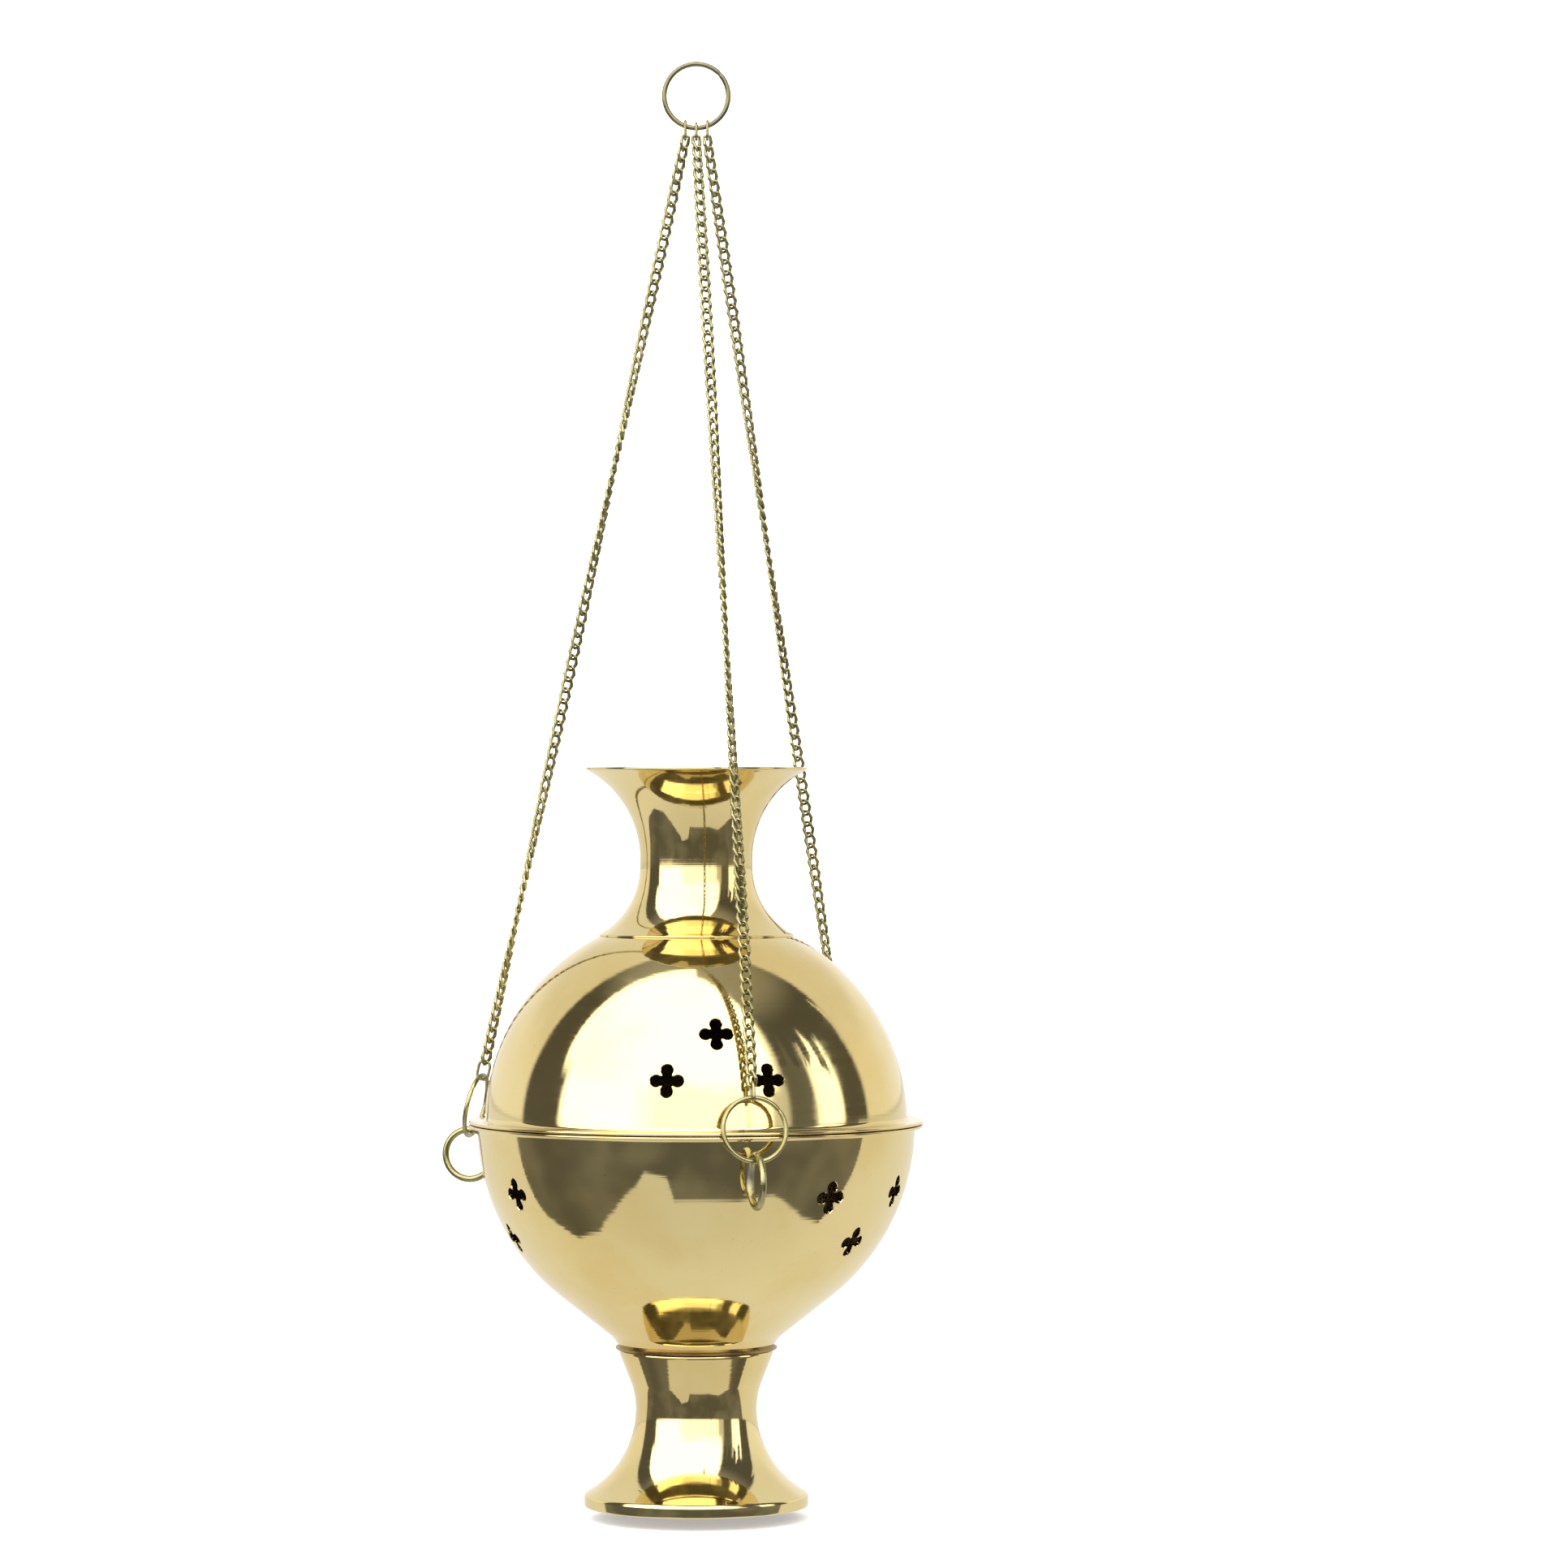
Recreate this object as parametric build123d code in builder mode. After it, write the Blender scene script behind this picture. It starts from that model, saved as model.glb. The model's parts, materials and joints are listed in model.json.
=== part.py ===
"""A hanging brass thurible: bowl, foot, chimney lid, fire pan, three curb chains and their rings.

Millimetres, +Z up. The origin is the inner top of the top ring, where a hook bears.
An azimuth is measured about +Z from the front (-Y) towards +X.
"""
from build123d import *
import os
from math import acos, asin, atan2, ceil, cos, degrees, radians, sin, sqrt, tan

# Both flanges meet at the seam plane
SEAM_Z = -325.4
SEAM_GAP = 0.2
FLANGE_R = 70.0
WALL = 1.0

# Lid: dome and funnel
DOME_R = 65.0
DOME_VENT_R = 22.0
DOME_ROOT_FILLET = 1.5
FUNNEL_WALL = 0.9
FUNNEL_RIM_R = 34.4
FUNNEL_NECK_R = 17.4
FUNNEL_BASE_R = 30.2
FUNNEL_NECK_TOP_Z = -244.0
FUNNEL_NECK_BOTTOM_Z = -246.0
FUNNEL_UPPER_CURVE_R = 31.0
FUNNEL_LOWER_CURVE_R = 24.0

# Bowl
BOWL_R = 67.4
BOWL_ROOT_FILLET = 0.8
BOWL_CONE_ANGLE = 38.3
BOWL_NECK_FILLET = 9.0
BOLT_HOLE_R = 2.6

# Foot
JOINT_Z = -394.4
JOINT_R = 23.75
JOINT_RIDGE = 0.55
WAIST_R = 18.7
WAIST_Z = -413.0
WAIST_ANGLE = 18.8
WAIST_UPPER_CURVE_R = 23.0
FLARE_CURVE_R = 29.7
BASE_R = 34.5
BASE_Z = -443.0
BASE_FILLET = 1.5

# Pierced crosses: group azimuths, then (azimuth from the group's middle, height from the seam)
CROSS_SPAN = 10.2
CROSS_ARM = 2.9
CROSS_LOBE = 3.7
CROSS_CUT = 3.0
DOME_CROSS_GROUPS = (6.8, 126.8, 246.8)
DOME_CROSSES = ((-14.0, 16.3), (14.0, 16.3), (0.0, 30.0))
BOWL_CROSS_GROUPS = (55.0, 171.0, 288.0)
BOWL_CROSSES = ((-15.5, -19.5), (15.5, -19.5), (0.0, -34.0))

# Foot bolt, washer and nut (M5)
BOLT_R = 2.45
BOLT_HEAD_R = 4.5
BOLT_HEAD_H = 2.6
BOLT_HEAD_ROUND = 1.56
BOLT_POINT = 0.5
BOLT_SLOT_W = 1.2
BOLT_SLOT_D = 1.1
BOLT_LENGTH = 9.0
WASHER_R = 5.0
WASHER_T = 1.0
NUT_ACROSS_FLATS = 8.0
NUT_H = 4.0
THREAD_PLAY = 0.05

# Fire pan
PAN_FLOOR_R = 36.0
PAN_RIM_R = 42.0
PAN_LIP = 2.4
PAN_FLOOR_Z = -380.9
PAN_DEPTH = 16.0
PAN_WALL = 0.8
PAN_CORNER = 4.0

# Top ring, lower rings and lugs: radii are to the middle of the wire
TOP_RING_R = 9.85
TOP_RING_WIRE = 1.6
LUG_R = 7.7
LUG_WIRE = 2.1
LUG_REACH = 73.0
RING_R = 9.63
RING_WIRE = 1.45

# Chains: sizes of a link are to the middle of its wire
LINK_WIRE = 0.92
LINK_H = 4.6
LINK_BOW = 1.05
LINK_BULGE = 1.1
LINK_CORNER = 0.55
LINK_PITCH = 3.5
CHAIN_SPACING = 3.4
TOP_LINK_HALF_W = 1.4
TOP_LINK_H = 5.0
END_LINK_HALF_W = 1.8
END_LINK_H = 5.9
OVAL_ROUNDNESS = 0.97
PLAY = 0.12

# Each chain: azimuth of its lug, height of the lug, place on the top ring, half turns of twist
SIDES = {
    "left": (-104.0, -336.0, -1, 2),
    "front": (15.0, -338.5, 0, 2),
    "right": (138.0, -337.0, 1, 1),
}

BOWL_FLANGE_TOP = SEAM_Z - SEAM_GAP / 2
BOWL_FLANGE_BOTTOM = BOWL_FLANGE_TOP - WALL
LID_FLANGE_TOP = SEAM_Z + SEAM_GAP / 2 + WALL
TOP_RING_Z = TOP_RING_WIRE / 2 - TOP_RING_R
FIRST_BOW_Z = TOP_RING_Z - TOP_RING_R + (TOP_RING_WIRE + LINK_WIRE) / 2 + PLAY - TOP_LINK_H
FORE_AFT_Z = FIRST_BOW_Z + TOP_LINK_HALF_W


def outward(azimuth):
    """Horizontal unit vector that points out at an azimuth."""
    return Vector(sin(radians(azimuth)), -cos(radians(azimuth)), 0)


def finish(piece, name):
    """Label a finished piece and write its STEP file."""
    piece.part.label = name
    export_step(piece.part, f"parts/{name}.step")


class HangingLine:
    """The straight line of one chain, from the first link's bottom arc to the ring's seat in its lug."""

    def __init__(self, azimuth, lug_z, place, half_turns):
        self.azimuth = azimuth
        self.x = place * CHAIN_SPACING
        self.lug = outward(azimuth) * LUG_REACH + Vector(0, 0, lug_z)
        self.seat = self.lug + Vector(0, 0, LUG_R - (LUG_WIRE + RING_WIRE) / 2 - PLAY)
        sideways = (self.seat.X - self.x) / (FIRST_BOW_Z - self.seat.Z)
        self.start = Vector(self.x - sideways * TOP_LINK_HALF_W, 0, FORE_AFT_Z)
        self.down = (self.seat - self.start).normalized()
        self.across = self.down.cross(Vector(0, 0, 1)).normalized()
        self.ring_top = self.seat - self.down * (2 * RING_R)
        self.first_bow = TOP_LINK_HALF_W + LINK_PITCH - LINK_H
        last_bow = (self.ring_top - self.start).length + (RING_WIRE + LINK_WIRE) / 2 + PLAY
        run = last_bow - END_LINK_H - self.first_bow
        self.count = ceil(run / LINK_PITCH)
        self.pitch = run / self.count
        top = self.frame(0)
        self.twist = 180 * half_turns + degrees(atan2(top.y_dir.Y, top.x_dir.Y))

    def frame(self, distance):
        """Plane on the line with local Z up the chain and local X across it."""
        return Plane(self.start + self.down * distance, x_dir=self.across, z_dir=-self.down)

    def link_location(self, index):
        """Where a curb link lies: from a top bow along X, the links turn evenly down to the lower ring."""
        middle = self.first_bow + LINK_H / 2 + index * self.pitch
        turn = self.twist * (1 - index / (self.count - 1))
        return self.frame(middle).location * Rotation(0, 0, turn)

    def chain_pivot(self):
        """Middle of the second link's bottom bow, where the chain turns outward."""
        return self.start + self.down * (self.first_bow + LINK_H)


LINES = {side: HangingLine(*values) for side, values in SIDES.items()}


# ---------------------------------------------------------------- wire loops
def wire_loop(corners, corner_r, wire_r):
    """Round wire bent into a closed loop: one straight run, then the rest of the way round."""
    with BuildPart() as loop:
        with BuildLine() as long_way:
            bent = FilletPolyline(*corners, radius=corner_r, close=True, mode=Mode.PRIVATE).edges()
            top_run = bent.filter_by(GeomType.LINE).sort_by(Axis.Z)[-1]
            add([edge for edge in bent if edge is not top_run])
        around = long_way.wire()
        with BuildSketch(Plane(around @ 0, z_dir=around % 0)):
            Circle(wire_r)
        sweep(path=around)
        with BuildLine() as short_way:
            add(top_run)
        with BuildSketch(Plane(top_run @ 0, z_dir=top_run % 0)):
            Circle(wire_r)
        sweep(path=short_way.wire())
    return loop


def curb_link():
    """One link: its top bow lies along Y, its bottom bow along X, and its sides bulge across."""
    half = LINK_H / 2
    corners = (
        (0, LINK_BOW, half),
        (0, -LINK_BOW, half),
        (LINK_BULGE, -LINK_BULGE, 0),
        (LINK_BOW, 0, -half),
        (-LINK_BOW, 0, -half),
        (-LINK_BULGE, LINK_BULGE, 0),
    )
    return wire_loop(corners, LINK_CORNER, LINK_WIRE / 2)


def oval_link(height, half_width):
    """Flat link in the YZ plane with its bottom bow's middle at the origin."""
    corners = ((0, half_width, height), (0, -half_width, height), (0, -half_width, 0), (0, half_width, 0))
    return wire_loop(corners, OVAL_ROUNDNESS * half_width, LINK_WIRE / 2)


# ---------------------------------------------------------------- top ring and chains
def build_top_ring():
    with BuildPart(Plane.XZ) as top_ring:
        with Locations((0, TOP_RING_Z)):
            Torus(TOP_RING_R, TOP_RING_WIRE / 2)
    finish(top_ring, "top_ring")


def write_links(links, name):
    """Write links that hook through each other, each one a separate solid of the same file."""
    export_step(Compound(label=name, children=links), f"parts/{name}.step")


def build_top_links():
    """First links: the outer two sit higher on the ring, so they are longer."""
    links = []
    for line in LINES.values():
        rise = TOP_RING_R - sqrt(TOP_RING_R**2 - line.x**2)
        tilt = cos(asin(line.x / TOP_RING_R))
        clearance = (TOP_RING_WIRE + LINK_WIRE) / 2 + PLAY
        height = TOP_RING_Z - TOP_RING_R + rise + clearance / tilt - FIRST_BOW_Z
        link = oval_link(height, TOP_LINK_HALF_W)
        links.append(link.part.moved(Location((line.x, 0, FIRST_BOW_Z))))
    write_links(links, "top_links")


def build_second_links(link):
    write_links([link.part.moved(line.link_location(0)) for line in LINES.values()], "second_links")


def build_chain(side, link):
    line = LINES[side]
    places = [line.link_location(index) for index in range(1, line.count)]
    write_links([link.part.moved(place) for place in places], f"chain_{side}")


def build_end_link(side):
    """Last link: it lies in the chain's upright plane, round the lower ring's wire."""
    line = LINES[side]
    link = oval_link(END_LINK_H, END_LINK_HALF_W)
    bottom = line.frame(line.first_bow + line.count * line.pitch + END_LINK_H)
    with BuildPart() as end_link:
        with Locations(bottom):
            add(link.part)
    finish(end_link, f"end_link_{side}")


def build_ring(side):
    """Lower ring: it hangs in line with its chain and stands across it."""
    line = LINES[side]
    middle = line.seat - line.down * RING_R
    with BuildPart() as ring:
        with Locations(Plane(middle, x_dir=line.across, z_dir=line.across.cross(line.down))):
            Torus(RING_R, RING_WIRE / 2)
    finish(ring, f"ring_{side}")


def build_lug(side):
    """Loop that stands out from the bowl, cut to lie on it."""
    line = LINES[side]
    out = outward(line.azimuth)
    with BuildPart() as lug:
        with Locations(Plane(line.lug, x_dir=out, z_dir=out.cross(Vector(0, 0, 1)))):
            Torus(LUG_R, LUG_WIRE / 2)
        with Locations((0, 0, SEAM_Z)):
            Sphere(BOWL_R, mode=Mode.SUBTRACT)
    finish(lug, f"lug_{side}")


# ---------------------------------------------------------------- shells
def cross_planes(radius, groups, crosses):
    """Planes that touch a sphere about the seam's middle, one for each pierced cross."""
    middle = Vector(0, 0, SEAM_Z)
    planes = []
    for group in groups:
        for turn, height in crosses:
            level = sqrt(radius**2 - height**2)
            normal = (outward(group + turn) * level + Vector(0, 0, height)).normalized()
            side = Vector(0, 0, 1).cross(normal)
            planes.append(Plane(middle + normal * radius, x_dir=side, z_dir=normal))
    return planes


def cross_outline():
    """Cross with a round lobe at the end of each arm."""
    reach = (CROSS_SPAN - CROSS_LOBE) / 2
    with BuildSketch() as cross:
        Rectangle(2 * reach, CROSS_ARM)
        Rectangle(CROSS_ARM, 2 * reach)
        with PolarLocations(reach, 4):
            Circle(CROSS_LOBE / 2)
    return cross.sketch


def build_bowl(cross):
    """Flange, round side, short cone, neck and floor: one spun sheet of even thickness."""
    flange_angle = -degrees(asin((SEAM_Z - BOWL_FLANGE_BOTTOM) / BOWL_R))
    cone_angle = BOWL_CONE_ANGLE - 90
    neck_slope = 1 / tan(radians(WAIST_ANGLE))
    with BuildPart() as bowl:
        with BuildSketch(Plane.XZ):
            with BuildLine() as outline:
                side = CenterArc((0, SEAM_Z), BOWL_R, flange_angle, cone_angle - flange_angle)
                flange = Line((FLANGE_R, BOWL_FLANGE_BOTTOM), side @ 0)
                cone_slope = tan(radians(BOWL_CONE_ANGLE))
                cone_end = side @ 1
                drop = cone_end.Y - cone_slope * cone_end.X
                corner_x = (JOINT_Z - neck_slope * JOINT_R - drop) / (cone_slope - neck_slope)
                corner = (corner_x, drop + cone_slope * corner_x)
                Line(cone_end, corner)
                Line(corner, (JOINT_R, JOINT_Z))
                Line((JOINT_R, JOINT_Z), (BOLT_HOLE_R, JOINT_Z))
                points = outline.vertices()
                fillet(points.sort_by_distance(flange @ 1)[0], BOWL_ROOT_FILLET)
                fillet(outline.vertices().sort_by_distance(corner)[0], BOWL_NECK_FILLET)
                offset(amount=WALL, side=Side.RIGHT)
            make_face()
        revolve(axis=Axis.Z)
        with BuildSketch(*cross_planes(BOWL_R, BOWL_CROSS_GROUPS, BOWL_CROSSES)):
            add(cross)
        extrude(amount=CROSS_CUT, both=True, mode=Mode.SUBTRACT)
    finish(bowl, "bowl")


def build_foot():
    """Top plate with a ridge, waist, trumpet flare and a short upright rim."""
    waist_top = Vector(WAIST_R, WAIST_Z)
    with BuildPart() as foot:
        with BuildSketch(Plane.XZ):
            with BuildLine() as outline:
                waist = JernArc(waist_top, (0, 1), WAIST_UPPER_CURVE_R, -WAIST_ANGLE)
                ridge = (JOINT_R + JOINT_RIDGE, JOINT_Z)
                Line(ridge, waist @ 1)
                Line((BOLT_HOLE_R, JOINT_Z), ridge)
                flare_angle = degrees(acos((WAIST_R + FLARE_CURVE_R - BASE_R) / FLARE_CURVE_R))
                flare = JernArc(waist_top, (0, -1), FLARE_CURVE_R, flare_angle)
                Line(flare @ 1, (BASE_R, BASE_Z))
                fillet(outline.vertices().sort_by_distance(flare @ 1)[0], BASE_FILLET)
                offset(amount=WALL, side=Side.LEFT)
            make_face()
        revolve(axis=Axis.Z)
    finish(foot, "foot")


def build_lid_dome(cross):
    """Flange and round side, open at the top below the funnel."""
    flange_angle = degrees(asin((LID_FLANGE_TOP - SEAM_Z) / DOME_R))
    vent_angle = degrees(acos(DOME_VENT_R / DOME_R))
    with BuildPart() as lid_dome:
        with BuildSketch(Plane.XZ):
            with BuildLine() as outline:
                side = CenterArc((0, SEAM_Z), DOME_R, flange_angle, vent_angle - flange_angle)
                flange = Line((FLANGE_R, LID_FLANGE_TOP), side @ 0)
                fillet(outline.vertices().sort_by_distance(flange @ 1)[0], DOME_ROOT_FILLET)
                offset(amount=WALL, side=Side.LEFT)
            make_face()
        revolve(axis=Axis.Z)
        with BuildSketch(*cross_planes(DOME_R, DOME_CROSS_GROUPS, DOME_CROSSES)):
            add(cross)
        extrude(amount=CROSS_CUT, both=True, mode=Mode.SUBTRACT)
    finish(lid_dome, "lid_dome")


def build_funnel():
    """Flared chimney: its base is cut to sit on the dome."""
    upper_angle = degrees(acos(1 - (FUNNEL_RIM_R - FUNNEL_NECK_R) / FUNNEL_UPPER_CURVE_R))
    lower_angle = degrees(acos(1 - (FUNNEL_BASE_R - FUNNEL_NECK_R) / FUNNEL_LOWER_CURVE_R))
    neck_top = (FUNNEL_NECK_R, FUNNEL_NECK_TOP_Z)
    neck_bottom = (FUNNEL_NECK_R, FUNNEL_NECK_BOTTOM_Z)
    with BuildPart() as funnel:
        with BuildSketch(Plane.XZ):
            with BuildLine():
                JernArc(neck_top, (0, 1), FUNNEL_UPPER_CURVE_R, -upper_angle)
                Line(neck_top, neck_bottom)
                JernArc(neck_bottom, (0, -1), FUNNEL_LOWER_CURVE_R, lower_angle)
                offset(amount=FUNNEL_WALL, side=Side.LEFT)
            make_face()
        revolve(axis=Axis.Z)
        with Locations((0, 0, SEAM_Z)):
            Sphere(DOME_R, mode=Mode.SUBTRACT)
    finish(funnel, "funnel")


def build_fire_pan():
    """Loose charcoal cup with a turned-out lip."""
    rim_z = PAN_FLOOR_Z + PAN_DEPTH
    with BuildPart() as fire_pan:
        with BuildSketch(Plane.XZ):
            with BuildLine() as outline:
                floor = Line((0, PAN_FLOOR_Z), (PAN_FLOOR_R, PAN_FLOOR_Z))
                side = Line(floor @ 1, (PAN_RIM_R, rim_z))
                Line(side @ 1, (PAN_RIM_R + PAN_LIP, rim_z))
                fillet(outline.vertices().sort_by_distance(floor @ 1)[0], PAN_CORNER)
                offset(amount=PAN_WALL, side=Side.LEFT)
            make_face()
        revolve(axis=Axis.Z)
    finish(fire_pan, "fire_pan")


# ---------------------------------------------------------------- foot bolt
def build_foot_bolt():
    """Round slotted head on the bowl's floor, shank down through the foot's top plate."""
    head_z = JOINT_Z + WALL
    with BuildPart() as foot_bolt:
        with BuildSketch(Plane.XY.offset(head_z)):
            Circle(BOLT_HEAD_R)
        extrude(amount=BOLT_HEAD_H)
        fillet(foot_bolt.faces().sort_by(Axis.Z)[-1].edges(), BOLT_HEAD_ROUND)
        with BuildSketch(Plane.XY.offset(head_z + BOLT_HEAD_H)):
            Rectangle(2 * BOLT_HEAD_R, BOLT_SLOT_W)
        extrude(amount=-BOLT_SLOT_D, mode=Mode.SUBTRACT)
        with BuildSketch(Plane.XY.offset(head_z)):
            Circle(BOLT_R)
        extrude(amount=-BOLT_LENGTH)
        chamfer(foot_bolt.faces().sort_by(Axis.Z)[0].edges(), BOLT_POINT)
    finish(foot_bolt, "foot_bolt")


def build_foot_washer():
    with BuildPart() as foot_washer:
        with BuildSketch(Plane.XY.offset(JOINT_Z - WALL)):
            Circle(WASHER_R)
            Circle(BOLT_HOLE_R, mode=Mode.SUBTRACT)
        extrude(amount=-WASHER_T)
    finish(foot_washer, "foot_washer")


def build_foot_nut():
    with BuildPart() as foot_nut:
        with BuildSketch(Plane.XY.offset(JOINT_Z - WALL - WASHER_T)):
            RegularPolygon(NUT_ACROSS_FLATS / 2, 6, major_radius=False)
            Circle(BOLT_R + THREAD_PLAY, mode=Mode.SUBTRACT)
        extrude(amount=-NUT_H)
    finish(foot_nut, "foot_nut")


def main():
    os.makedirs("parts", exist_ok=True)
    link = curb_link()
    build_top_ring()
    build_top_links()
    build_second_links(link)
    for side in SIDES:
        build_chain(side, link)
        build_end_link(side)
        build_ring(side)
        build_lug(side)
    cross = cross_outline()
    build_bowl(cross)
    build_foot()
    build_lid_dome(cross)
    build_funnel()
    build_fire_pan()
    build_foot_bolt()
    build_foot_washer()
    build_foot_nut()


if __name__ == "__main__":
    main()
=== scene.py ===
"""Looks of the hanging brass thurible: shells, curb chains, rings and lugs, their finishes, and the studio.

The scene is in metres. Shapes are worked out in millimetres, +Z up, from the origin where the hook bears.
An azimuth is measured about +Z from the front (-Y) towards +X.
"""
import json
from math import acos, asin, atan2, ceil, cos, degrees, pi, radians, sin, sqrt, tan

import bmesh
import bpy
import numpy as np
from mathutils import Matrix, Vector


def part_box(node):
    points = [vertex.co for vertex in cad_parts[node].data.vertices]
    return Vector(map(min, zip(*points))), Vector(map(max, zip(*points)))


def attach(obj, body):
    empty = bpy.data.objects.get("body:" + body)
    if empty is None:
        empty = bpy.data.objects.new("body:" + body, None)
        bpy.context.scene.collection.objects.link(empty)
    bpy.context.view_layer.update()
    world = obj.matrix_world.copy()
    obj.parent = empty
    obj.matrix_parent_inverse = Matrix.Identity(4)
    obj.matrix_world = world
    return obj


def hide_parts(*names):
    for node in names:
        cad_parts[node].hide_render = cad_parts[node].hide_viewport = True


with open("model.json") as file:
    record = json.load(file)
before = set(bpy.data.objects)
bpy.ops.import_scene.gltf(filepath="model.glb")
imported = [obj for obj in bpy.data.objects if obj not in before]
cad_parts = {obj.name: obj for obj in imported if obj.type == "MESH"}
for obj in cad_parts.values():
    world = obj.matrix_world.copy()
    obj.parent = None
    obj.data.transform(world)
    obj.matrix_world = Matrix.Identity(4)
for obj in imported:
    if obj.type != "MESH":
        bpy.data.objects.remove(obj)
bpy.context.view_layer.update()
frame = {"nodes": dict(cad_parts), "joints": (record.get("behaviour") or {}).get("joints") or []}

MM = 0.001
JOINTS = {joint["name"]: joint for joint in frame["joints"]}


def lowest(node):
    """Lowest height of a CAD node, in millimetres."""
    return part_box(node)[0].z / MM


def highest(node):
    """Greatest height of a CAD node, in millimetres."""
    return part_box(node)[1].z / MM


def widest(node):
    """Greatest half width of a CAD node, in millimetres."""
    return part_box(node)[1].x / MM


# Spun sheet
WALL = 1.0
FUNNEL_WALL = 0.9
PAN_WALL = 0.8
SEAM_Z = (highest("bowl") + lowest("lid_dome")) / 2
FLANGE_R = widest("bowl")
DOME_R = 65.0
DOME_VENT_R = 22.0
DOME_ROOT_FILLET = 1.5
BOWL_R = 67.4
BOWL_ROOT_FILLET = 0.8
BOWL_CONE_ANGLE = 38.3
BOWL_NECK_FILLET = 9.0
JOINT_Z = lowest("bowl")
JOINT_R = 23.75
JOINT_CORNER = 1.05
JOINT_RIDGE = 0.55
RIDGE_FILLET = 1.2
BOLT_HOLE_R = 2.6

# Funnel and foot
NECK_R = 17.4
NECK_TOP_Z = -244.0
NECK_BOTTOM_Z = -246.0
FUNNEL_RIM_R = 34.4
FUNNEL_BASE_R = 30.2
FUNNEL_UPPER_CURVE_R = 31.0
FUNNEL_LOWER_CURVE_R = 24.0
WAIST_R = 18.7
WAIST_Z = -413.0
WAIST_ANGLE = 18.8
WAIST_UPPER_CURVE_R = 23.0
FLARE_CURVE_R = 29.7
BASE_R = 34.5
BASE_Z = lowest("foot")
BASE_FILLET = 1.5

# Fire pan
PAN_FLOOR_Z = lowest("fire_pan")
PAN_DEPTH = 16.0
PAN_FLOOR_R = 36.0
PAN_RIM_R = 42.0
PAN_LIP_R = widest("fire_pan")
PAN_CORNER = 4.0
PAN_LIP_CORNER = 1.2

# Pierced crosses
CROSS_ARM = 2.9
CROSS_LOBE = 3.7
CROSS_SPAN = 10.2
CROSS_DEPTH = 3.0
CROSS_CHAMFER = 0.18
CROSS_FLARE = 0.2
DOME_CROSS_GROUPS = (6.8, 126.8, 246.8)
DOME_CROSSES = ((-14.0, 16.3), (14.0, 16.3), (0.0, 30.0))
BOWL_CROSS_GROUPS = (55.0, 171.0, 288.0)
BOWL_CROSSES = ((-15.5, -19.5), (15.5, -19.5), (0.0, -34.0))

# Wire rings and lugs: radii are to the middle of the wire
TOP_RING_R = 9.85
TOP_RING_WIRE = 1.6
LUG_R = 7.7
LUG_WIRE = 2.1
LUG_REACH = 73.0
RING_R = 9.63
RING_WIRE = 1.45
BUTT_GROOVE = 0.16
TOP_JOINT_AT = 0.12
RING_JOINT_AT = 0.6
SOLDER_SWELL = 0.35
SOLDER_REACH = 0.5

# Chains
LINK_WIRE = 0.92
LINK_H = 4.6
LINK_BOW = 1.05
LINK_BULGE = 1.0
LINK_CORNER = 0.55
LINK_SIDE_CORNER = 0.9
LINK_SIDE_SWELL = 0.15
LINK_SWELL_REACH = 0.5
LINK_PITCH = 3.5
TOP_LINK_HALF_W = 1.4
END_LINK_HALF_W = 1.8
END_LINK_H = 5.9
OVAL_ROUNDNESS = 0.97
PLAY = 0.12
# Side: azimuth, height of its lug, place on the top ring and half turns of twist down the chain
SIDES = {"left": (-104.0, -336.0, -1, 2), "front": (15.0, -338.5, 0, 2), "right": (138.0, -337.0, 1, 1)}
CHAIN_SPACING = 3.4

# Fineness of the meshes
ON_SPHERE = 0.02
FACES_OUT = 0.97
SHARP_ANGLE = 35
SPIN_STEPS = 288
ARC_STEP = 1.5
WIRE_SIDES = 20
RING_STEPS = 120
LINK_SIDES = 10
LOBE_STEPS = 19
ROOT_STEPS = 9
EDGE_STEPS = 9
BALL_STEPS = 192
WIRE_SHARP_ANGLE = 80


# ---------------------------------------------------------------- points and meshes
def outward(azimuth):
    """Horizontal unit vector that points out at an azimuth."""
    return np.array((sin(radians(azimuth)), -cos(radians(azimuth)), 0.0))


def unit(vector):
    return vector / np.linalg.norm(vector)


def arc(centre, radius, start, end, count=None):
    """Points of an arc in the (radius, height) plane, with its angles in degrees."""
    count = count or max(4, ceil(abs(end - start) / ARC_STEP) + 1)
    turns = np.radians(np.linspace(start, end, count))
    return np.column_stack((centre[0] + radius * np.cos(turns), centre[1] + radius * np.sin(turns)))


def rounded(corners, radii, steps=8, closed=False):
    """Polyline through the corners, each one with an arc of its own radius; the ends of an open line stay."""
    corners = np.array(corners, float)
    points = [] if closed else [corners[0]]
    count = len(corners)
    for index in range(count) if closed else range(1, count - 1):
        corner = corners[index]
        back = unit(corners[index - 1] - corner)
        ahead = unit(corners[(index + 1) % count] - corner)
        half = acos(np.clip(back @ ahead, -1, 1)) / 2
        radius = radii[index if closed else index - 1]
        middle = corner + unit(back + ahead) * radius / sin(half)
        first = corner + back * radius / tan(half) - middle
        last = corner + ahead * radius / tan(half) - middle
        sweep = pi - 2 * half
        for share in np.linspace(0, 1, steps + 1):
            bend = first * sin((1 - share) * sweep) + last * sin(share * sweep)
            points.append(middle + bend / sin(sweep))
    if not closed:
        points.append(corners[-1])
    return np.array(points)


def joined(*lines):
    """Lines put end to end, without the points that they share."""
    points = np.vstack(lines)
    steps = np.linalg.norm(np.diff(points, axis=0), axis=1)
    return points[np.insert(steps > 1e-4, 0, True)]


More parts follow.
